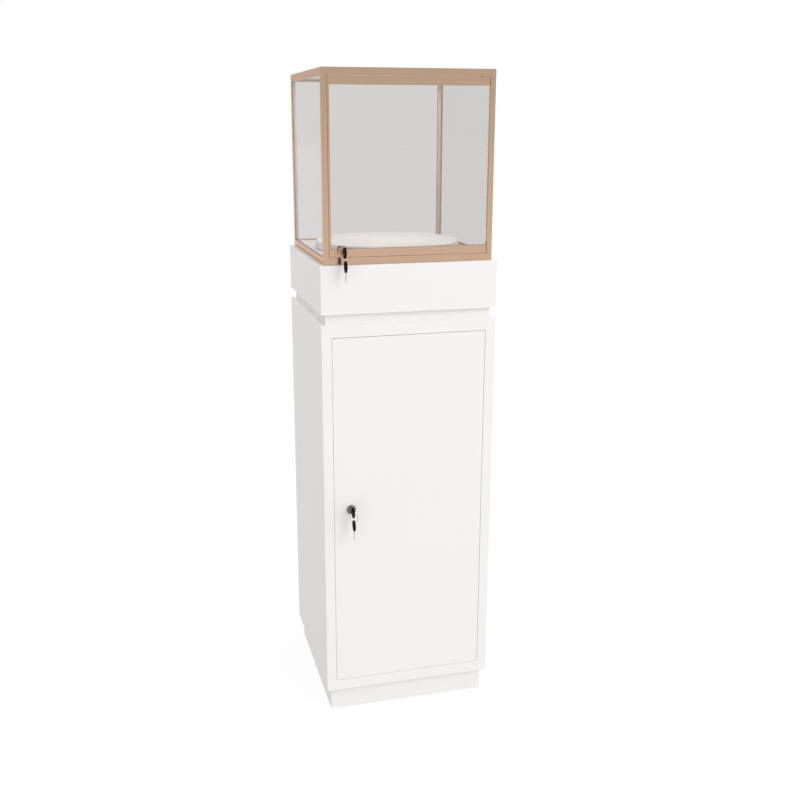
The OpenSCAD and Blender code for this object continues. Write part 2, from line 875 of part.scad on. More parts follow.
module case_spare_key() {
    color(black) at_case_lock()
        translate([0, -case_lock_proud + key_hole_y, -spare_hole_down]) spare_key();
}

plinth_front_board();
plinth_back_board();
plinth_side_boards();
cabinet_floor();
cabinet_left_side();
cabinet_right_side();
cabinet_back();
cabinet_top();
left_stile();
right_stile();
top_rail();
bottom_rail();
door_stop();
door_pivot_bushes();
shadow_gap_board();
box_floor();
box_front();
box_back();
box_side_boards();
box_deck();
case_front_posts();
case_rear_posts();
case_front_rails();
case_back_rails();
case_bottom_side_rails();
case_top_side_rails();
side_glass_panes();
back_glass();
roof_panel();
display_floor();
glass_door_bushes();
glass_door_stop();
bearing_lower_race();
bearing_screws();
bearing_balls();
bearing_upper_race();
turntable_disc();
cabinet_door();
door_pivot_pins();
cabinet_lock_body();
cabinet_lock_nut();
cabinet_lock_plug();
cabinet_lock_cam();
cabinet_lock_cam_screw();
cabinet_key();
cabinet_key_ring();
cabinet_spare_key();
glass_door_pane();
glass_door_top_rail();
glass_door_bottom_rail();
glass_door_stile();
glass_door_pins();
case_lock_body();
case_lock_nut();
case_lock_plug();
case_lock_cam();
case_lock_cam_screw();
case_key();
case_key_ring();
case_spare_key();
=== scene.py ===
"""Pedestal display case: the finishes and the fine detail of its pieces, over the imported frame.

The white cabinet, the anodised glass case, both locks and their keys, and the turntable are
finished here. Everything is in metres, with the front towards -Y.
"""

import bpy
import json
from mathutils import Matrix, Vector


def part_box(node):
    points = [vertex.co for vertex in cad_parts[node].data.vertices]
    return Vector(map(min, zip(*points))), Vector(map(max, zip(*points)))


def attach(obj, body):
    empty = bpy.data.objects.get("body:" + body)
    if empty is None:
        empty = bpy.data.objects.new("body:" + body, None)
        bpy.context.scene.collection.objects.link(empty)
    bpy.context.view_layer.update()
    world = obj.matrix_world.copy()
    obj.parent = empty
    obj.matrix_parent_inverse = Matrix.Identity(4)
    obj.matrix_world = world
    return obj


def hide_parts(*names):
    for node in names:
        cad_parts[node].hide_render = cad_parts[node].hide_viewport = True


bl_info = {
    "name": "Pedestal Display Case",
    "version": (1, 0, 0),
    "blender": (4, 5, 0),
    "location": "View3D > Sidebar > Display Case",
    "description": "Finishes a lacquered pedestal with an anodised glass case",
    "category": "Object",
}

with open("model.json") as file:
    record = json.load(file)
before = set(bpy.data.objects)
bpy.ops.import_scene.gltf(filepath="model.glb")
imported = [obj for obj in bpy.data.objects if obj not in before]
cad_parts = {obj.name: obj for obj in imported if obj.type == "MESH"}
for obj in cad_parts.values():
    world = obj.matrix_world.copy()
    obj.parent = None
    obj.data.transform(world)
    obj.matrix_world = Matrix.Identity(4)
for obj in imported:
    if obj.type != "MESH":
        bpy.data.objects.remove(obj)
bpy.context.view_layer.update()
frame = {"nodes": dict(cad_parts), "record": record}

import json
import math

import bmesh
import bpy
from bpy.props import FloatProperty, IntProperty, PointerProperty, StringProperty
from mathutils import Matrix, Vector

MM = 0.001
NODES = frame["nodes"]
BODY_OF = {n: b for b, members in frame["record"]["behaviour"]["bodies"].items() for n in members}

BOARDS = [
    "plinth_front_board", "plinth_back_board", "plinth_side_boards",
    "cabinet_floor", "cabinet_left_side", "cabinet_right_side", "cabinet_back", "cabinet_top",
    "left_stile", "right_stile", "top_rail", "bottom_rail", "door_stop",
    "shadow_gap_board", "box_floor", "box_front", "box_back", "box_side_boards",
    "box_deck", "roof_panel", "cabinet_door",
]
DOOR_BARS = ["glass_door_top_rail", "glass_door_bottom_rail", "glass_door_stile"]
FRAME_BARS = [
    "case_front_posts", "case_rear_posts", "case_front_rails", "case_back_rails",
    "case_bottom_side_rails", "case_top_side_rails", "glass_door_stop", *DOOR_BARS,
]
PANES = ["side_glass_panes", "back_glass", "glass_door_pane"]
# The side rails' grooves run out at the back. These blocks fill the right rails' ends, and
# their mirror images the left rails'. Each is given by its low and its high corner, in mm.
RAIL_PLUGS = {
    "case_bottom_side_rails": [((184.3, 181, 1086.5), (188.7, 190, 1090))],
    "case_top_side_rails": [((184.3, 181, 1464), (188.7, 190, 1467.5)),
                            ((181, 184, 1470), (184, 190, 1480))],
}

# The glass case
POST_T = 12.0 * MM          # thickness of the posts
GROOVE = 3.2 * MM           # depth of a pane in the grooves above and below it
STILE_GROOVE = 1.8 * MM     # depth of the door's pane in the groove of the stile

# Reading the mesh of a CAD node
MERGE = 0.002 * MM          # points closer than this are one
FLAT = math.radians(0.5)    # faces that meet at less than this are one
CORNER = math.radians(50)   # faces that meet at more than this make a corner
BESIDE = 0.3 * MM           # how far beside an edge what covers it is looked for
NEAR = 0.1 * MM             # how far from a plane a face still counts as on it
FACING = 0.9                # share of a normal along an axis from which a face looks that way
DOOR_EDGE = 1.1             # width of a door's rounded free edge, as a share of the radius

# Broken edges of the hardware
BODY_EDGE = 0.25 * MM
PLUG_EDGE = 0.15 * MM
NUT_EDGE = 0.3 * MM
CAM_EDGE = 0.15 * MM
RACE_EDGE = 0.2 * MM
BUSH_EDGE = 0.15 * MM
PIN_EDGE = 0.4 * MM

# The keys. A key is made along X, with the middle of its head at the origin.
HEAD_R = 12.0 * MM
HEAD_T = 3.5 * MM
HEAD_RIM = 0.6 * MM         # how far the rim and the boss stand above the head
HEAD_EDGE = 0.35 * MM       # radius of the moulded edges
PANEL_R = 9.6 * MM          # sunk panel inside the rim
PANEL_END = 10.8 * MM       # how far the panel reaches towards the neck
PANEL_NECK_W = 4.5 * MM     # width of the panel there
HOLE_R = 2.5 * MM
HOLE_OUT = 7.5 * MM         # from the middle of the head to the hole
BOSS_W = 1.5 * MM           # width of the raised ring round the hole
NECK_W = 10.0 * MM
NECK_END = 0.8 * MM         # how far the neck stands out of the head
NECK_END_W = 9.0 * MM
BLADE_T = 2.0 * MM
BLADE_W = 7.5 * MM
BLADE_L = 22.0 * MM
BLADE_EDGE = 0.15 * MM
TIP_L = 2.4 * MM
TIP_W = 2.625 * MM          # width of the blade's end
CUT_DEPTHS = [0.88 * MM, 1.6 * MM, 0.64 * MM, 1.28 * MM, 0.96 * MM]
CUT_PITCH = 2.9 * MM
CUT_FROM_TIP = 2.0 * MM     # from the middle of the last cut to the start of the tip
CUT_TOP_W = 2.4 * MM
CUT_FLOOR_W = 0.8 * MM
HEAD_STEPS, HOLE_STEPS, BOSS_STEPS = 40, 24, 28
PLATE_MERGE = 0.005 * MM    # points of a plate closer than this are one
# How a key is turned: into its lock, with the blade to the back, or hanging from its ring
INTO_LOCK = Matrix(((0, 0, 1, 0), (1, 0, 0, 0), (0, 1, 0, 0), (0, 0, 0, 1)))
HANGING = Matrix(((0, 0, -1, 0), (0, 1, 0, 0), (-1, 0, 0, 0), (0, 0, 0, 1)))

# The split rings
RING_STEPS, RING_SIDES = 96, 10
RING_TURNS = 1.94
RING_START = math.radians(135)
RING_PITCH = 1.02           # step from turn to turn, as a share of the wire
RING_CROSS = (0.35, 0.65)   # the wire passes to the other side on this stretch of its length

# The screws
SCREW_STEPS = 32
RACE_SCREW_COUNT = 4
RACE_SCREW_TURN = math.radians(45)
RACE_SCREW_R = 1.5 * MM
RACE_SCREW_HEAD_R = 3.0 * MM
RACE_SCREW_HEAD_T = 1.5 * MM
CAM_SCREW_R = 2.0 * MM
CAM_SCREW_HEAD_T = 2.5 * MM
PAN_EDGE = 1.5 * MM         # radius of the cam screw's head
SCREW_CHAMFER = 0.4         # at a screw's end, as a share of its radius
RECESS_MAX = 1.3 * MM       # deepest cross recess
# Half length, half width and depth of a cross recess's arms, as shares of the head's radius
RECESS_ARM, RECESS_HALF, RECESS_DEPTH = 0.62, 0.13, 0.4

# The turntable
POCKET_GAP = 1.0 * MM       # between the upper race and the wall of the disc's pocket
DISC_STEPS = 256
BALL_STEPS = 24

# The camera, fitted to the straight edges of the object
CAMERA_AT = (-0.59031, -2.26986, 1.37002)
CAMERA_YAW = math.radians(14.56)
CAMERA_PITCH = math.radians(15.08)
CAMERA_SENSOR = 36.0        # mm
CAMERA_LENS = 44.58         # mm
CAMERA_SHIFT = (0.0161, -0.0132)
CAMERA_REACH = 300.0

# The studio
FLOOR_REACH = 60.0          # from the middle of the floor to its sides
FLOOR_GREY = "6C6C6C"
FLOOR_LIGHT = 0.62          # glow of the floor on the rays that light the object
FLOOR_SEEN = 0.86           # glow of the floor where it is seen or mirrored
SKY_FROM = (0.6, -0.35, 0.72)   # where the sky's bright side is
SKY_LIGHT = 1.45            # strength of the sky at its bright side
SKY_DARK = -0.5             # cosine of the angle from there at which its light ends
SKY_GLOSS = 0.8             # strength of the sky in reflections
# Name, place, aim, width and power of each lamp. The panes dim what falls through them, so the
# inside of the case has a lamp of its own.
LAMPS = [
    ("key_softbox", (1.6, -3.2, 3.4), (0, 0, 0.8), 1.8, 27),
    ("fill_softbox", (-2.6, 0.2, 4.4), (0, 0, 0.8), 2.2, 42),
    ("case_softbox", (0, 0, 1.462), (0, 0, 1.1), 0.33, 0.85),
]


# ---------------------------------------------------------------- sizes and colours

class CaseSizes(bpy.types.PropertyGroup):
    """Sizes of the finishing detail."""

    board_edge: FloatProperty(
        name="Board edge", description="Radius of the sanded edges of the boards",
        default=0.7 * MM, min=0.1 * MM, max=2 * MM, unit="LENGTH")
    bar_edge: FloatProperty(
        name="Bar edge", description="Radius of the edges of the aluminium bars",
        default=0.4 * MM, min=0.1 * MM, max=1 * MM, unit="LENGTH")
    disc_edge: FloatProperty(
        name="Disc edge", description="Radius of the turntable disc's rim",
        default=1.5 * MM, min=0.2 * MM, max=3 * MM, unit="LENGTH")
    ball_count: IntProperty(
        name="Balls", description="Number of balls in the turntable's bearing",
        default=40, min=3, max=60)
    ball_size: FloatProperty(
        name="Ball diameter", description="Diameter of the bearing's balls",
        default=5 * MM, min=1 * MM, max=8 * MM, unit="LENGTH")
    door_gap: FloatProperty(
        name="Door gap", description="Gap between the cabinet door's free edge and the stile",
        default=0.55 * MM, min=0.4 * MM, max=1 * MM, unit="LENGTH")
    free_gap: FloatProperty(
        name="Free edge gap", description="Gap between the glass door's free edge and the post",
        default=0.4 * MM, min=0.3 * MM, max=1 * MM, unit="LENGTH")
    ring_wire: FloatProperty(
        name="Ring wire", description="Thickness of one turn of a split key ring",
        default=0.66 * MM, min=0.3 * MM, max=0.7 * MM, unit="LENGTH")


class CaseColours(bpy.types.PropertyGroup):
    """Colours of the finishes, as sRGB hex values."""

    lacquer: StringProperty(
        name="Lacquer", description="White lacquer of the boards", default="F6F4F2")
    champagne: StringProperty(
        name="Champagne", description="Anodised colour of the frame", default="CAAB91")
    glancing: StringProperty(
        name="Glancing champagne", description="Colour of the frame seen at a low angle",
        default="F4E2D5")
    glass: StringProperty(
        name="Glass", description="Tint that light takes on at each face of a pane",
        default="E8E7E6")
    # This pale tone also paints light on the rear posts' faces, where it stands in for light on
    # the champagne.
    tape: StringProperty(
        name="Glazing tape", description="Tape that beds the panes", default="DCC9B8")
    nickel: StringProperty(
        name="Nickel", description="Plating of the cabinet lock's face", default="868584")
    plated: StringProperty(
        name="Plated champagne", description="Plating of the case lock's face",
        default="CFA68D")
    zinc: StringProperty(
        name="Zinc", description="Plated steel of the hidden hardware", default="AEB1B4")
    brass: StringProperty(name="Brass", description="Turned pivot bushes", default="C3A254")
    plastic: StringProperty(
        name="Key plastic", description="Moulded heads of the keys", default="050506")
    blade: StringProperty(
        name="Key blade", description="Nickel silver of the keys' blades", default="DEDBD5")


def sizes():
    """The sizes that a user can change."""
    return bpy.context.scene.case_sizes


def colours():
    """The colours that a user can change."""
    return bpy.context.scene.case_colours


# ---------------------------------------------------------------- nodes and materials

def linear(hex_value):
    """A linear RGBA colour from an sRGB hex value, by the formula of the sRGB standard."""
    channels = [int(hex_value[i:i + 2], 16) / 255 for i in (0, 2, 4)]
    low = [c / 12.92 if c <= 0.04045 else ((c + 0.055) / 1.055) ** 2.4 for c in channels]
    return (*low, 1.0)


def add(tree, kind, fields=(), values=(), links=()):
    """Adds a node with its fields, input values and links, and returns it."""
    made = tree.nodes.new(kind)
    for name, value in dict(fields).items():
        setattr(made, name, value)
    for name, value in dict(values).items():
        made.inputs[name].default_value = value
    for name, source in dict(links).items():
        tree.links.new(source, made.inputs[name])
    return made


def new_material(name, values):
    """A material with a Principled shader that has the given values."""
    made = bpy.data.materials.new(name)
    made.use_nodes = True
    shader = made.node_tree.nodes["Principled BSDF"]
    for socket, value in values.items():
        shader.inputs[socket].default_value = value
    return made, made.node_tree, shader


def noise(tree, per_metre, detail=2.0, stretch=(1, 1, 1)):
    """Noise on object coordinates, so many bumps to a metre. A stretch below 1 draws it out."""
    place = add(tree, "ShaderNodeTexCoord")
    mapped = add(tree, "ShaderNodeMapping", values={"Scale": stretch},
                 links={"Vector": place.outputs["Object"]})
    made = add(tree, "ShaderNodeTexNoise", values={"Scale": per_metre, "Detail": detail},
               links={"Vector": mapped.outputs["Vector"]})
    return made.outputs["Fac"]


def vary(tree, source, shader, socket, low, high):
    """Drives a socket between two values from a noise, most of which lies from 0.3 to 0.7."""
    spread = add(tree, "ShaderNodeMapRange",
                 values={"From Min": 0.3, "From Max": 0.7, "To Min": low, "To Max": high},
                 links={"Value": source})
    tree.links.new(spread.outputs["Result"], shader.inputs[socket])


def tint(tree, source, shader, first, second):
    """Drives the base colour between two close colours from a value."""
    mix = add(tree, "ShaderNodeMix", fields={"data_type": "RGBA"}, links={"Factor": source})
    for socket, colour in zip([s for s in mix.inputs if s.type == "RGBA"], (first, second)):
        socket.default_value = colour
    result = next(s for s in mix.outputs if s.type == "RGBA")
    tree.links.new(result, shader.inputs["Base Color"])


def relief(tree, source, shader, depth, strength=1.0):
    """Raises a surface by a noise, to a depth in metres."""
    bump = add(tree, "ShaderNodeBump", values={"Strength": strength, "Distance": depth},
               links={"Height": source})
    tree.links.new(bump.outputs["Normal"], shader.inputs["Normal"])


def shade(hex_value, factor):
    """A colour a little darker or lighter than a hex value."""
    red, green, blue, _ = linear(hex_value)
    return (red * factor, green * factor, blue * factor, 1.0)


# Grains and marks that are too fine for the render are drawn coarser, so that they show.

def satin_lacquer():
    """Sprayed satin polyurethane on MDF: soft gloss, with orange peel about 1.5 mm apart."""
    base = colours().lacquer
    made, tree, shader = new_material("satin_lacquer_on_mdf", {"IOR": 1.5})
    tint(tree, noise(tree, 6.0), shader, shade(base, 1.0), shade(base, 0.985))
    vary(tree, noise(tree, 30.0), shader, "Roughness", 0.40, 0.48)
    relief(tree, noise(tree, 650.0, 1.0), shader, 0.02 * MM, 0.35)
    return made


def champagne_anodised():
    """Bright-dipped aluminium, anodised champagne: the keys in front of it mirror in it.

    Its tone drifts a little over about 40 mm and its gloss over about 17 mm.
    """
    base = colours().champagne
    made, tree, shader = new_material(
        "champagne_anodised_aluminium",
        {"Metallic": 1.0, "Specular Tint": linear(colours().glancing)})
    tint(tree, noise(tree, 25.0), shader, shade(base, 1.0), shade(base, 0.965))
    vary(tree, noise(tree, 60.0), shader, "Roughness", 0.13, 0.19)
    return made


def float_glass():
    """Coated float glass: hardly a reflection, and a grey tint that deepens at a low angle."""
    base = colours().glass
    made, tree, shader = new_material(
        "anti_reflective_float_glass",
        {"IOR": 1.06, "Transmission Weight": 1.0, "Roughness": 0.0, "Specular IOR Level": 0.1})
    angle = add(tree, "ShaderNodeLayerWeight", values={"Blend": 0.5})
    tint(tree, angle.outputs["Facing"], shader, shade(base, 1.0), shade(base, 0.94))
    return made


def black_nickel():
    """Black-nickel-plated zinc casting: dark and satin, polishing marks 2.5 mm apart."""
    made, tree, shader = new_material(
        "black_nickel_plated_zinc", {"Base Color": linear(colours().nickel), "Metallic": 1.0})
    vary(tree, noise(tree, 400.0, 2.0), shader, "Roughness", 0.3, 0.42)
    return made


def champagne_plate():
    """Zinc casting plated to match the frame, a little darker and more satin than it."""
    made, tree, shader = new_material(
        "champagne_plated_zinc", {"Base Color": linear(colours().plated), "Metallic": 1.0})
    vary(tree, noise(tree, 400.0, 2.0), shader, "Roughness", 0.26, 0.38)
    return made


def chromed_balls():
    """Polished chrome steel of bearing balls."""
    made, tree, shader = new_material(
        "chrome_steel", {"Base Color": linear("C9CACC"), "Metallic": 1.0})
    vary(tree, noise(tree, 500.0), shader, "Roughness", 0.06, 0.12)
    return made


def zinc_steel():
    """Zinc-plated steel: dull blue-white spangle of 11 mm, with a grain along Z, 2 mm apart."""
    base = colours().zinc
    made, tree, shader = new_material("zinc_plated_steel", {"Metallic": 1.0})
    tint(tree, noise(tree, 90.0), shader, shade(base, 1.0), shade(base, 0.9))
    vary(tree, noise(tree, 500.0, 3.0, (1, 1, 0.1)), shader, "Roughness", 0.28, 0.42)
    return made


def turned_brass():
    """Turned brass: warm and half bright, with tool marks round Z, 1.25 mm apart."""
    made, tree, shader = new_material(
        "turned_brass", {"Base Color": linear(colours().brass), "Metallic": 1.0})
    vary(tree, noise(tree, 800.0, 2.0, (0.05, 0.05, 1)), shader, "Roughness", 0.24, 0.38)
    return made


def key_plastic():
    """Moulded ABS: near black, with a spark-eroded grain, drawn 0.4 mm apart."""
    made, tree, shader = new_material(
        "moulded_black_abs", {"Base Color": linear(colours().plastic), "IOR": 1.5,
                              "Specular IOR Level": 0.05})
    vary(tree, noise(tree, 300.0), shader, "Roughness", 0.42, 0.56)
    relief(tree, noise(tree, 2600.0, 1.0), shader, 0.01 * MM, 0.3)
    return made


def key_steel():
    """Nickel silver of a key's blade: bright, with scratches along it, 1.1 mm apart."""
    made, tree, shader = new_material(
        "nickel_silver", {"Base Color": linear(colours().blade), "Metallic": 1.0})
    vary(tree, noise(tree, 900.0, 3.0, (1, 0.2, 0.2)), shader, "Roughness", 0.28, 0.42)
    return made


def glazing_tape_and_painted_light():
    """Matt acrylic tape that beds the panes, in a tone close to the frame. On the rear posts'
    faces its pale tone is painted light.
    """
    made, tree, shader = new_material(
        "acrylic_tape_and_painted_light", {"Base Color": linear(colours().tape), "IOR": 1.47})
    vary(tree, noise(tree, 700.0), shader, "Roughness", 0.55, 0.7)
    return made


MAKERS = {
    "lacquer": satin_lacquer, "champagne": champagne_anodised, "glass": float_glass,
    "tape": glazing_tape_and_painted_light,
    "nickel": black_nickel, "plated": champagne_plate, "chrome": chromed_balls,
    "zinc": zinc_steel, "brass": turned_brass, "plastic": key_plastic,
    "key_steel": key_steel,
}
MADE = {}


def finish(name):
    """The material of a finish, made once."""
    if name not in MADE:
        MADE[name] = MAKERS[name]()
    return MADE[name]


# ---------------------------------------------------------------- pieces

def new_object(name, data):
    """A new object in the scene with this data."""
    made = bpy.data.objects.new(name, data)
    bpy.context.scene.collection.objects.link(made)
    return made


def evaluated_mesh(made):
    """A plain mesh of an object with its modifiers, or its curve's settings, applied."""
    bpy.context.view_layer.update()
    graph = bpy.context.evaluated_depsgraph_get()
    return bpy.data.meshes.new_from_object(made.evaluated_get(graph))


def dress(node, name):
    """Gives a CAD node a finish in place of its plain colour."""
    mesh = NODES[node].data
    mesh.materials.clear()
    mesh.materials.append(finish(name))


def piece(name, mesh, finishes, node):
    """Puts a mesh in the scene in place of a CAD node, on the body that the node is on."""
    mesh.materials.clear()
    for each in finishes:
        mesh.materials.append(finish(each))
    made = new_object(name, mesh)
    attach(made, BODY_OF[node])
    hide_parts(node)
    return made


def joined_copy(node):
    """A bmesh of a CAD node with its loose triangles joined into flat faces."""
    work = bmesh.new()
    work.from_mesh(NODES[node].data)
    bmesh.ops.remove_doubles(work, verts=work.verts, dist=MERGE)
    bmesh.ops.dissolve_limit(work, angle_limit=FLAT, verts=work.verts, edges=work.edges,
                             use_dissolve_boundaries=False)
    return work


def to_mesh(work, name):
    """Turns a bmesh into a mesh and frees it."""
    mesh = bpy.data.meshes.new(name)
    work.to_mesh(mesh)
    work.free()
    return mesh


def covered(point, boxes):
    """True if a point lies in one of the boxes."""
    return any(all(low[i] <= point[i] <= high[i] for i in range(3)) for low, high in boxes)


def part_boxes(nodes):
    """The boxes of the separate solids of some nodes, for telling which edges are covered."""
    boxes = []
    for node in nodes:
        work = joined_copy(node)
        left = set(work.verts)
        while left:
            group, stack = set(), [left.pop()]
            while stack:
                vert = stack.pop()
                group.add(vert)
                for edge in vert.link_edges:
                    other = edge.other_vert(vert)
                    if other in left:
                        left.discard(other)
                        stack.append(other)
            low = [min(v.co[i] for v in group) for i in range(3)]
            high = [max(v.co[i] for v in group) for i in range(3)]
            boxes.append((low, high))
        work.free()
    return sorted(boxes)


def slice_at(work, axis, place):
    """Cuts the faces of a bmesh along a plane square to an axis, and keeps both sides."""
    point, normal = Vector(), Vector()
    point[axis], normal[axis] = place, 1
    bmesh.ops.bisect_plane(work, geom=[*work.verts, *work.edges, *work.faces],
                           plane_co=point, plane_no=normal)


def corners(work):
    """The edges of a bmesh where two faces make an outer corner."""
    work.normal_update()
    return [e for e in work.edges if len(e.link_faces) == 2 and e.is_convex
            and e.calc_face_angle(0) > CORNER]


def round_off(work, edges, radius, segments):
    """Rounds some edges of a bmesh."""
    bmesh.ops.bevel(work, geom=edges, offset=radius, offset_type="OFFSET", segments=segments,
                    profile=0.5, affect="EDGES", clamp_overlap=True)


def is_open(edge, point, boxes):
    """True if none of the boxes lies on the faces of an edge beside a point on it."""
    for loop in edge.link_loops:
        along = (loop.link_loop_next.vert.co - loop.vert.co).normalized()
        inward = loop.face.normal.cross(along)
        if covered(point + (inward + loop.face.normal) * BESIDE, boxes):
            return False
    return True


def changes(edge, axis, place, boxes):
    """True if an edge is open on one side of a plane and covered on the other."""
    start, end = (vert.co for vert in edge.verts)
    first, last = sorted((start[axis], end[axis]))
    if first > place - BESIDE or last < place + BESIDE:
        return False
    point = start.lerp(end, (place - start[axis]) / (end[axis] - start[axis]))
    along = (end - start).normalized() * BESIDE
    return is_open(edge, point + along, boxes) != is_open(edge, point - along, boxes)


def ease_edges(node, radius, name, finish_name, boxes, segments=3):
    """A copy of a CAD node with its open edges rounded.

    An edge is open where nothing lies against either of its faces. Along a joint it stays
    sharp, so that two boards meet without a groove, as filled and sprayed boards do.
    """
    work = joined_copy(node)
    low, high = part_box(node)
    for other_low, other_high in boxes:
        if all(other_low[i] < high[i] + BESIDE and other_high[i] > low[i] - BESIDE
               for i in range(3)):
            for axis in range(3):
                for place in (other_low[axis], other_high[axis]):
                    if any(changes(edge, axis, place, boxes) for edge in corners(work)):
                        slice_at(work, axis, place)
    edges = [e for e in corners(work)
             if is_open(e, (e.verts[0].co + e.verts[1].co) / 2, boxes)]
    round_off(work, edges, radius, segments)
    return piece(name, to_mesh(work, name), [finish_name], node)


def refine(node, name, finish_name, radius):
    """A copy of a turned or stamped CAD node with broken edges and smooth round faces."""
    work = joined_copy(node)
    round_off(work, corners(work), radius, 2)
    mesh = to_mesh(work, name)
    smooth_by_angle(mesh)
    return piece(name, mesh, [finish_name], node)


def widen(mesh, edge, place, radius):
    """Moves a door's rounded free edge to the left, from where it stands to a place."""
    for vert in mesh.vertices:
        if vert.co.x < edge + radius * DOOR_EDGE:
            vert.co.x -= edge - place


def revolve(profile, steps, name):
    """Turns a closed profile of (radius, height) points round the Z axis."""
    work = bmesh.new()
    rings = []
    for radius, height in profile:
        if radius == 0:
            rings.append([work.verts.new((0, 0, height))] * steps)
        else:
            rings.append([
                work.verts.new((radius * math.cos(a), radius * math.sin(a), height))
                for a in (2 * math.pi * k / steps for k in range(steps))])
    for j, ring in enumerate(rings):
        after = rings[(j + 1) % len(rings)]
        for k in range(steps):
            loop = [ring[k], ring[(k + 1) % steps], after[(k + 1) % steps], after[k]]
            loop = list(dict.fromkeys(loop))
            if len(loop) > 2:
                work.faces.new(loop)
    bmesh.ops.recalc_face_normals(work, faces=work.faces)
    return to_mesh(work, name)


def arc(x, y, radius, start, end, steps=5):
    """Points of an arc round a centre, angles in degrees."""
    return [
        (x + radius * math.cos(math.radians(start + (end - start) * k / steps)),
         y + radius * math.sin(math.radians(start + (end - start) * k / steps)))
        for k in range(steps + 1)]


def circle(x, y, radius, steps):
    """Points of a circle round a centre."""
    return arc(x, y, radius, 0, 360, steps)[:-1]


def smooth_by_angle(mesh, degrees=35):
    """Smooth shading with sharp edges where two faces meet at more than an angle."""
    mesh.shade_smooth()
    mesh.set_sharp_from_angle(angle=math.radians(degrees))


# ---------------------------------------------------------------- keys

def plate(outline, holes, thickness, edge, name):
    """A flat plate with rounded edges, from an outline and its holes in the XY plane."""
    curve = bpy.data.curves.new(name, "CURVE")
    curve.dimensions = "2D"
    curve.fill_mode = "BOTH"
    curve.bevel_depth = edge
    curve.bevel_resolution = 2
    curve.extrude = thickness / 2 - edge
    curve.offset = -edge
    for loop in [outline, *holes]:
        spline = curve.splines.new("POLY")
        spline.points.add(len(loop) - 1)
        for point, (x, y) in zip(spline.points, loop):
            point.co = (x, y, 0, 1)
        spline.use_cyclic_u = True
    holder = new_object(name, curve)
    mesh = evaluated_mesh(holder)
    bpy.data.objects.remove(holder)
    bpy.data.curves.remove(curve)
    work = bmesh.new()
    work.from_mesh(mesh)
    bmesh.ops.remove_doubles(work, verts=work.verts, dist=PLATE_MERGE)
    bmesh.ops.recalc_face_normals(work, faces=work.faces)
    work.to_mesh(mesh)
    work.free()
    return mesh


def key_head():
    """Moulded head with a raised rim, a round hole with a boss, and a neck."""
    open_angle = math.degrees(math.asin(NECK_W / 2 / HEAD_R))
    outline = arc(0, 0, HEAD_R, open_angle, 360 - open_angle, HEAD_STEPS)
    outline += [(HEAD_R + NECK_END, -NECK_END_W / 2), (HEAD_R + NECK_END, NECK_END_W / 2)]
    panel = arc(0, 0, PANEL_R, open_angle, 360 - open_angle, HEAD_STEPS)
    panel += [(PANEL_END, -PANEL_NECK_W / 2), (PANEL_END, PANEL_NECK_W / 2)]
    hole = circle(-HOLE_OUT, 0, HOLE_R, HOLE_STEPS)
    boss = circle(-HOLE_OUT, 0, HOLE_R + BOSS_W, BOSS_STEPS)
    return [plate(outline, [hole], HEAD_T - 2 * HEAD_RIM, HEAD_EDGE, "head_core"),
            plate(outline, [panel], HEAD_T, HEAD_EDGE, "head_rim"),
            plate(boss, [hole], HEAD_T, HEAD_EDGE, "head_boss")]


def key_blade():
    """Stamped blade with a row of cuts in both edges and a pointed tip."""
    half, end = BLADE_W / 2, HEAD_R + BLADE_L
    top, bottom = [(HEAD_R, half)], [(HEAD_R, -half)]
    for side, row, depths in ((1, top, CUT_DEPTHS), (-1, bottom, CUT_DEPTHS[::-1])):
        for k, depth in enumerate(depths):
            at = end - TIP_L - CUT_FROM_TIP - (len(depths) - 1 - k) * CUT_PITCH
            floor = side * (half - depth)
            row += [(at - CUT_TOP_W / 2, side * half), (at - CUT_FLOOR_W / 2, floor),
                    (at + CUT_FLOOR_W / 2, floor), (at + CUT_TOP_W / 2, side * half)]
        row += [(end - TIP_L, side * half), (end, side * TIP_W / 2)]
    return plate(top + bottom[::-1], [], BLADE_T, BLADE_EDGE, "blade")


def make_key(name, node, matrix):
    """A key in place of its CAD node: moulded head and stamped blade."""
    work = bmesh.new()
    for mesh in key_head():
        work.from_mesh(mesh)
        bpy.data.meshes.remove(mesh)
    head_faces = len(work.faces)
    blade = key_blade()
    work.from_mesh(blade)
    bpy.data.meshes.remove(blade)
    bmesh.ops.transform(work, matrix=matrix, verts=work.verts)
    mesh = to_mesh(work, name)
    smooth_by_angle(mesh)
    piece(name, mesh, ["plastic", "key_steel"], node)
    for polygon in mesh.polygons[head_faces:]:
        polygon.material_index = 1


def split_ring(name, node, wire):
    """A split key ring: nearly two turns of wire side by side, ends cut square."""
    low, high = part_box(node)
    centre = (low + high) / 2
    radius = (high.z - low.z) / 2 - wire / 2
    begin, end = RING_CROSS
    work = bmesh.new()
    rings = []
    for k in range(RING_STEPS + 1):
        part = k / RING_STEPS
        angle = RING_START + 2 * math.pi * RING_TURNS * part
        out = Vector((math.cos(angle), 0, math.sin(angle)))
        shift = min(max((part - begin) / (end - begin), 0), 1)
        middle = centre + out * radius + Vector((0, (shift - 0.5) * wire * RING_PITCH, 0))
        rings.append([work.verts.new(middle + out * x + Vector((0, y, 0)))
                      for x, y in circle(0, 0, wire / 2, RING_SIDES)])
    for one, two in zip(rings, rings[1:]):
        for k in range(RING_SIDES):
            after = (k + 1) % RING_SIDES
            work.faces.new([one[k], one[after], two[after], two[k]])
    work.faces.new(rings[0])
    work.faces.new(rings[-1][::-1])
    bmesh.ops.recalc_face_normals(work, faces=work.faces)
    mesh = to_mesh(work, name)
    smooth_by_angle(mesh, degrees=50)
    return piece(name, mesh, ["zinc"], node)


# ---------------------------------------------------------------- screws and the track

TRACK = []                  # the Geometry Nodes group and its keys, made once


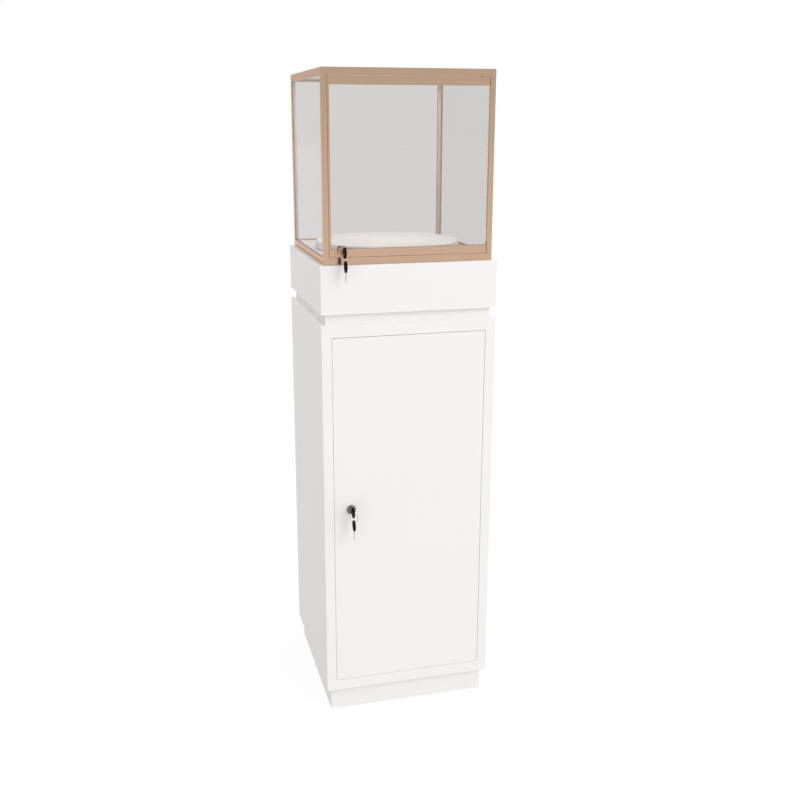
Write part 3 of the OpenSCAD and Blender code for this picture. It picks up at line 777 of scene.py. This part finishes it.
def cut(mesh, cutter):
    """A mesh with the shape of a cutter taken out of it."""
    target = new_object("target", mesh)
    tool = new_object("tool", cutter)
    modifier = target.modifiers.new("cut", "BOOLEAN")
    modifier.operation = "DIFFERENCE"
    modifier.solver = "EXACT"
    modifier.object = tool
    made = evaluated_mesh(target)
    for each in (target, tool):
        bpy.data.objects.remove(each)
    return made


def screw_mesh(head, length, shank_r):
    """A screw that points to -Z with its head's top at z = 0 and a cross recess in it.

    The head is a profile of (radius, height) points from its underside up.
    """
    top, chamfer = head[-1][1], shank_r * SCREW_CHAMFER
    profile = [(0, -length), (shank_r - chamfer, -length), (shank_r, chamfer - length),
               (shank_r, 0)]
    profile += [point for point in head if point[0] > shank_r or point[1] == top]
    mesh = revolve([(radius, height - top) for radius, height in profile], SCREW_STEPS, "screw")
    wide = max(radius for radius, _ in profile)
    arm, half = wide * RECESS_ARM, wide * RECESS_HALF
    deep = min(RECESS_MAX, wide * RECESS_DEPTH)
    return cut(cut(mesh, box_mesh(arm, half, deep)), box_mesh(half, arm, deep))


def box_mesh(x, y, z):
    """A box with these half sizes round the origin."""
    work = bmesh.new()
    verts = bmesh.ops.create_cube(work, size=2)["verts"]
    bmesh.ops.scale(work, vec=(x, y, z), verts=verts)
    return to_mesh(work, "box")


def track_group():
    """Geometry Nodes group that sets copies of a piece at even steps round a circle."""
    tree = bpy.data.node_groups.new("Round A Track", "GeometryNodeTree")
    face = tree.interface
    face.new_socket("Geometry", in_out="OUTPUT", socket_type="NodeSocketGeometry")
    kinds = {"Piece": "Object", "Count": "Int", "Track Radius": "Float", "Height": "Float",
             "Turn": "Float", "Material": "Material"}
    keys = {n: face.new_socket(n, in_out="INPUT", socket_type="NodeSocket" + k).identifier
            for n, k in kinds.items()}
    given = add(tree, "NodeGroupInput")
    circle_points = add(tree, "GeometryNodeMeshCircle",
                        links={"Vertices": given.outputs["Count"],
                               "Radius": given.outputs["Track Radius"]})
    lift = add(tree, "ShaderNodeCombineXYZ", links={"Z": given.outputs["Height"]})
    turn = add(tree, "ShaderNodeCombineXYZ", links={"Z": given.outputs["Turn"]})
    track = add(tree, "GeometryNodeTransform",
                links={"Geometry": circle_points.outputs["Mesh"],
                       "Translation": lift.outputs["Vector"],
                       "Rotation": turn.outputs["Vector"]})
    source = add(tree, "GeometryNodeObjectInfo", links={"Object": given.outputs["Piece"]})
    placed = add(tree, "GeometryNodeInstanceOnPoints",
                 links={"Points": track.outputs["Geometry"],
                        "Instance": source.outputs["Geometry"]})
    real = add(tree, "GeometryNodeRealizeInstances",
               links={"Geometry": placed.outputs["Instances"]})
    coated = add(tree, "GeometryNodeSetMaterial",
                 links={"Geometry": real.outputs["Geometry"],
                        "Material": given.outputs["Material"]})
    add(tree, "NodeGroupOutput", links={"Geometry": coated.outputs["Geometry"]})
    return tree, keys


def around_track(source, count, radius, height, turn, material):
    """Copies of a mesh set round a track by Geometry Nodes, as one plain mesh."""
    if not TRACK:
        TRACK.extend(track_group())
    tree, keys = TRACK
    original = new_object("track_piece", source)
    holder = new_object("track_holder", bpy.data.meshes.new("track_holder"))
    modifier = holder.modifiers.new("Round A Track", "NODES")
    modifier.node_group = tree
    values = {"Piece": original, "Count": count, "Track Radius": radius, "Height": height,
              "Turn": turn, "Material": material}
    for name, value in values.items():
        modifier[keys[name]] = value
    mesh = evaluated_mesh(holder)
    holder.modifiers.remove(modifier)
    for each in (original, holder):
        bpy.data.objects.remove(each)
    return mesh


# ---------------------------------------------------------------- operators

class CASE_OT_boards(bpy.types.Operator):
    """Lacquers the boards of the pedestal and eases their open edges"""

    bl_idname = "display_case.boards"
    bl_label = "Lacquer the boards"

    def execute(self, context):
        boxes = part_boxes(BOARDS)
        for node in BOARDS:
            made = ease_edges(node, sizes().board_edge, "lacquered_" + node, "lacquer", boxes)
            if node == "cabinet_door":
                self.build_up(made.data)
        dress("display_floor", "lacquer")
        return {"FINISHED"}

    def build_up(self, mesh):
        """Widens the door at its free edge, up to the gap that is left after spraying."""
        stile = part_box("left_stile")[1].x
        widen(mesh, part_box("cabinet_door")[0].x, stile + sizes().door_gap,
              sizes().board_edge)


class CASE_OT_frame(bpy.types.Operator):
    """Anodises the bars of the glass case and of its door"""

    bl_idname = "display_case.frame"
    bl_label = "Anodise the frame"

    def execute(self, context):
        boxes = part_boxes(FRAME_BARS)
        for node in FRAME_BARS:
            made = ease_edges(node, sizes().bar_edge, "anodised_" + node, "champagne", boxes,
                              segments=2)
            if node in DOOR_BARS:
                self.close_free_edge(made.data)
            self.plug_ends(made.data, RAIL_PLUGS.get(node, []))
            if node == "case_rear_posts":
                # The rear posts' pale faces are painted light.
                self.painted_light_bead(made.data)
        return {"FINISHED"}

    def painted_light_bead(self, mesh):
        """Gives the rear posts' front and inner faces, where the panes press, the pale tape. Over
        the whole faces this pale tone is painted light, which makes the rear posts read lighter
        than the champagne.
        """
        mesh.materials.append(finish("tape"))
        low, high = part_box("case_rear_posts")
        for polygon in mesh.polygons:
            middle, normal = polygon.center, polygon.normal
            faces_front = normal.y < -FACING and middle.y < low.y + NEAR
            faces_in = abs(normal.x) > FACING and abs(middle.x) < high.x - POST_T + NEAR
            polygon.material_index = int(faces_front or faces_in)

    def plug_ends(self, mesh, plugs):
        """Adds the blocks that close the side rails' grooves at the back, left and right."""
        work = bmesh.new()
        work.from_mesh(mesh)
        for low, high in plugs:
            half = [(b - a) / 2 * MM for a, b in zip(low, high)]
            middle = [(a + b) / 2 * MM for a, b in zip(low, high)]
            for side in (-1, 1):
                block = box_mesh(*half)
                block.transform(Matrix.Translation((side * middle[0], *middle[1:])))
                work.from_mesh(block)
                bpy.data.meshes.remove(block)
        work.to_mesh(mesh)
        work.free()

    def close_free_edge(self, mesh):
        """Widens the glass door at its free edge, up to the finished gap from the post."""
        edge = min(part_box(node)[0].x for node in DOOR_BARS)
        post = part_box("case_front_posts")[0].x + POST_T
        widen(mesh, edge, post + sizes().free_gap, sizes().bar_edge)


class CASE_OT_glass(bpy.types.Operator):
    """Glazes the case and tapes its panes"""

    bl_idname = "display_case.glass"
    bl_label = "Glaze the case"

    def execute(self, context):
        for node in PANES:
            self.glaze(node)
        return {"FINISHED"}

    def glaze(self, node):
        """A pane with glazing tape on the strips in the grooves and on its butt ends."""
        low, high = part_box(node)
        work = joined_copy(node)
        strips = [(2, low.z + GROOVE, -1), (2, high.z - GROOVE, 1)]
        if node == "glass_door_pane":
            strips.append((0, low.x + STILE_GROOVE, -1))
        for axis, place, _ in strips:
            slice_at(work, axis, place)
        name = "float_" + node
        work.normal_update()
        ends = {"side_glass_panes": 1, "back_glass": 0}.get(node)
        taped = [
            any((face.calc_center_median()[axis] - place) * side > 0
                for axis, place, side in strips)
            or (ends is not None and abs(face.normal[ends]) > FACING)
            for face in work.faces]
        mesh = to_mesh(work, name)
        piece(name, mesh, ["glass", "tape"], node)
        for polygon, hidden in zip(mesh.polygons, taped):
            polygon.material_index = int(hidden)


class CASE_OT_turntable(bpy.types.Operator):
    """Turns the disc, and fills its bearing with balls"""

    bl_idname = "display_case.turntable"
    bl_label = "Make the turntable"

    def execute(self, context):
        self.disc()
        self.balls()
        self.screws()
        for side in ("lower", "upper"):
            refine("bearing_%s_race" % side, "pressed_%s_race" % side, "zinc", RACE_EDGE)
        return {"FINISHED"}

    def disc(self):
        """The disc, turned with rounded rims and a pocket for the upper race."""
        low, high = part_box("turntable_disc")
        race_low, race_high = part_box("bearing_upper_race")
        radius, edge = (high.x - low.x) / 2, sizes().disc_edge
        pocket = (race_high.x - race_low.x) / 2 + POCKET_GAP
        roof = race_high.z
        profile = [(0, roof), (pocket, roof), (pocket, low.z)]
        profile += arc(radius - edge, low.z + edge, edge, -90, 0)
        profile += arc(radius - edge, high.z - edge, edge, 0, 90)
        profile += [(0, high.z)]
        mesh = revolve(profile, DISC_STEPS, "turned_disc")
        smooth_by_angle(mesh, degrees=30)
        piece("turned_disc", mesh, ["lacquer"], "turntable_disc")

    def balls(self):
        """The balls, set round the bearing's track."""
        low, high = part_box("bearing_balls")
        size = sizes().ball_size
        work = bmesh.new()
        bmesh.ops.create_uvsphere(work, u_segments=BALL_STEPS, v_segments=BALL_STEPS // 2,
                                  radius=size / 2)
        ball = to_mesh(work, "ball")
        ball.shade_smooth()
        mesh = around_track(ball, sizes().ball_count, (high.x - low.x) / 2 - size / 2,
                            (low.z + high.z) / 2, 0.0, finish("chrome"))
        piece("bearing_ball_ring", mesh, ["chrome"], "bearing_balls")

    def screws(self):
        """The countersunk screws, one near each corner of the lower race."""
        low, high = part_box("bearing_screws")
        head = [(0, 0), (RACE_SCREW_R, 0), (RACE_SCREW_HEAD_R, RACE_SCREW_HEAD_T),
                (0, RACE_SCREW_HEAD_T)]
        screw = screw_mesh(head, high.z - low.z - RACE_SCREW_HEAD_T, RACE_SCREW_R)
        reach = ((high.x - low.x) / 2 - RACE_SCREW_HEAD_R) * math.sqrt(2)
        mesh = around_track(screw, RACE_SCREW_COUNT, reach, high.z, RACE_SCREW_TURN,
                            finish("zinc"))
        smooth_by_angle(mesh)
        piece("countersunk_race_screws", mesh, ["zinc"], "bearing_screws")


class CASE_OT_locks(bpy.types.Operator):
    """Plates the two locks and their cams, nuts and screws"""

    bl_idname = "display_case.locks"
    bl_label = "Fit the locks"

    def execute(self, context):
        for lock, plating in (("cabinet_lock", "nickel"), ("case_lock", "plated")):
            refine(lock + "_body", "cast_%s_body" % lock, plating, BODY_EDGE)
            refine(lock + "_plug", "cast_%s_plug" % lock, plating, PLUG_EDGE)
            refine(lock + "_nut", "hexagon_%s_nut" % lock, "zinc", NUT_EDGE)
            refine(lock + "_cam", "stamped_%s_cam" % lock, "zinc", CAM_EDGE)
            self.cam_screw(lock)
        return {"FINISHED"}

    def cam_screw(self, lock):
        """The pan-head screw that holds a lock's cam, pointing to the front."""
        low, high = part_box(lock + "_cam_screw")
        head_r = (high.x - low.x) / 2
        top = CAM_SCREW_HEAD_T
        head = [(0, 0), (head_r, 0), *arc(head_r - PAN_EDGE, top - PAN_EDGE, PAN_EDGE, 0, 90),
                (0, top)]
        mesh = screw_mesh(head, high.y - low.y - top, CAM_SCREW_R)
        middle = (low + high) / 2
        mesh.transform(Matrix.Translation((middle.x, high.y, middle.z))
                       @ Matrix.Rotation(math.radians(-90), 4, "X"))
        smooth_by_angle(mesh)
        piece("pan_head_%s_screw" % lock, mesh, ["zinc"], lock + "_cam_screw")


class CASE_OT_keys(bpy.types.Operator):
    """Makes the keys in the locks, the spare keys and the split rings"""

    bl_idname = "display_case.keys"
    bl_label = "Cut the keys"

    def execute(self, context):
        for lock in ("cabinet", "case"):
            key, spare = lock + "_key", lock + "_spare_key"
            low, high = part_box(key)
            middle = (low + high) / 2
            head = Vector((middle.x, low.y + HEAD_R, middle.z))
            make_key(lock + "_moulded_key", key, Matrix.Translation(head) @ INTO_LOCK)
            low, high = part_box(spare)
            middle = (low + high) / 2
            head = Vector((middle.x, middle.y, high.z - HEAD_R))
            make_key(lock + "_moulded_spare_key", spare, Matrix.Translation(head) @ HANGING)
            split_ring(lock + "_split_ring", lock + "_key_ring", sizes().ring_wire)
        return {"FINISHED"}


class CASE_OT_hardware(bpy.types.Operator):
    """Finishes the pivot pins and their bushes"""

    bl_idname = "display_case.hardware"
    bl_label = "Finish the pivots"

    def execute(self, context):
        for node in ("door_pivot_bushes", "glass_door_bushes"):
            refine(node, "turned_" + node, "brass", BUSH_EDGE)
        for node in ("door_pivot_pins", "glass_door_pins"):
            refine(node, "ground_" + node, "zinc", PIN_EDGE)
        return {"FINISHED"}


class CASE_OT_stage(bpy.types.Operator):
    """Sets the floor, the light and the camera"""

    bl_idname = "display_case.stage"
    bl_label = "Set the stage"

    def execute(self, context):
        self.floor()
        self.sky()
        for lamp in LAMPS:
            self.softbox(*lamp)
        self.camera()
        context.scene.view_settings.view_transform = "Standard"
        return {"FINISHED"}

    def floor(self):
        """A grey floor that glows, and glows more where it is seen, so that it shows white."""
        work = bmesh.new()
        bmesh.ops.create_grid(work, x_segments=1, y_segments=1, size=FLOOR_REACH)
        mesh = to_mesh(work, "studio_floor")
        made = new_object("studio_floor", mesh)
        material, tree, shader = new_material(
            "white_studio_floor", {"Base Color": linear(FLOOR_GREY), "Roughness": 0.9,
                                   "Specular IOR Level": 0.0, "Emission Color": (1, 1, 1, 1)})
        path = add(tree, "ShaderNodeLightPath")
        larger = {"operation": "MAXIMUM"}
        bounced = add(tree, "ShaderNodeMath", fields=larger,
                      links={0: path.outputs["Is Glossy Ray"],
                             1: path.outputs["Is Transmission Ray"]})
        seen = add(tree, "ShaderNodeMath", fields=larger,
                   links={0: path.outputs["Is Camera Ray"], 1: bounced.outputs["Value"]})
        glow = add(tree, "ShaderNodeMix", fields={"data_type": "FLOAT"},
                   values={"A": FLOOR_LIGHT, "B": FLOOR_SEEN},
                   links={"Factor": seen.outputs["Value"]})
        tree.links.new(glow.outputs[0], shader.inputs["Emission Strength"])
        mesh.materials.append(material)

    def sky(self):
        """A white world for the eye, and a sky that lights the object from one side."""
        world = bpy.data.worlds.new("soft_studio")
        bpy.context.scene.world = world
        world.use_nodes = True
        tree = world.node_tree
        tree.nodes.clear()
        direction = add(tree, "ShaderNodeTexCoord")
        key = add(tree, "ShaderNodeVectorMath", fields={"operation": "DOT_PRODUCT"},
                  values={1: Vector(SKY_FROM).normalized()},
                  links={0: direction.outputs["Generated"]})
        level = add(tree, "ShaderNodeMapRange",
                    values={"From Min": SKY_DARK, "From Max": 1.0, "To Min": 0.0,
                            "To Max": SKY_LIGHT},
                    links={"Value": key.outputs["Value"]})
        path = add(tree, "ShaderNodeLightPath")
        gloss = add(tree, "ShaderNodeMix", fields={"data_type": "FLOAT"},
                    values={"B": SKY_GLOSS},
                    links={"Factor": path.outputs["Is Glossy Ray"],
                           "A": level.outputs["Result"]})
        seen = add(tree, "ShaderNodeMath", fields={"operation": "MAXIMUM"},
                   links={0: path.outputs["Is Camera Ray"],
                          1: path.outputs["Is Transmission Ray"]})
        mix = add(tree, "ShaderNodeMix", fields={"data_type": "FLOAT"}, values={"B": 1.0},
                  links={"Factor": seen.outputs["Value"], "A": gloss.outputs[0]})
        light = add(tree, "ShaderNodeBackground", values={"Color": (1, 1, 1, 1)},
                    links={"Strength": mix.outputs[0]})
        add(tree, "ShaderNodeOutputWorld", links={"Surface": light.outputs["Background"]})

    def softbox(self, name, at, target, width, power):
        """A square lamp aimed at a point, which neither the camera nor a mirror image shows."""
        data = bpy.data.lights.new(name, "AREA")
        data.size = width
        data.energy = power
        made = new_object(name, data)
        made.location = at
        aim = Vector(target) - Vector(at)
        made.rotation_mode = "QUATERNION"
        made.rotation_quaternion = aim.to_track_quat("-Z", "Y")
        made.visible_camera = made.visible_glossy = made.visible_transmission = False

    def camera(self):
        """The camera, at the photograph's angle."""
        data = bpy.data.cameras.new("photo_camera")
        data.sensor_width = CAMERA_SENSOR
        data.lens = CAMERA_LENS
        data.shift_x, data.shift_y = CAMERA_SHIFT
        data.clip_end = CAMERA_REACH
        made = new_object("photo_camera", data)
        made.location = CAMERA_AT
        forward = Vector((math.sin(CAMERA_YAW) * math.cos(CAMERA_PITCH),
                          math.cos(CAMERA_YAW) * math.cos(CAMERA_PITCH),
                          -math.sin(CAMERA_PITCH)))
        made.rotation_mode = "QUATERNION"
        made.rotation_quaternion = forward.to_track_quat("-Z", "Y")
        bpy.context.scene.camera = made


class CASE_PT_panel(bpy.types.Panel):
    """Lists the steps that finish the display case"""

    bl_idname = "CASE_PT_panel"
    bl_label = "Display Case"
    bl_space_type = "VIEW_3D"
    bl_region_type = "UI"
    bl_category = "Display Case"

    def draw(self, context):
        """Shows the sizes, the colours and a button for each step."""
        column = self.layout.column()
        for group in (context.scene.case_sizes, context.scene.case_colours):
            for name in group.__annotations__:
                column.prop(group, name)
        for step in STEPS:
            column.operator(step.bl_idname)


STEPS = [CASE_OT_stage, CASE_OT_boards, CASE_OT_frame, CASE_OT_glass, CASE_OT_turntable,
         CASE_OT_locks, CASE_OT_keys, CASE_OT_hardware]
CLASSES = [CaseSizes, CaseColours, *STEPS, CASE_PT_panel]


def register():
    """Registers the classes and gives the scene its sizes and colours."""
    for each in CLASSES:
        bpy.utils.register_class(each)
    bpy.types.Scene.case_sizes = PointerProperty(type=CaseSizes)
    bpy.types.Scene.case_colours = PointerProperty(type=CaseColours)


def unregister():
    """Takes the sizes, the colours and the classes away again."""
    del bpy.types.Scene.case_colours
    del bpy.types.Scene.case_sizes
    for each in reversed(CLASSES):
        bpy.utils.unregister_class(each)


def main():
    register()
    for step in STEPS:
        group, name = step.bl_idname.split(".")
        getattr(getattr(bpy.ops, group), name)()


if __name__ == "__main__":
    main()
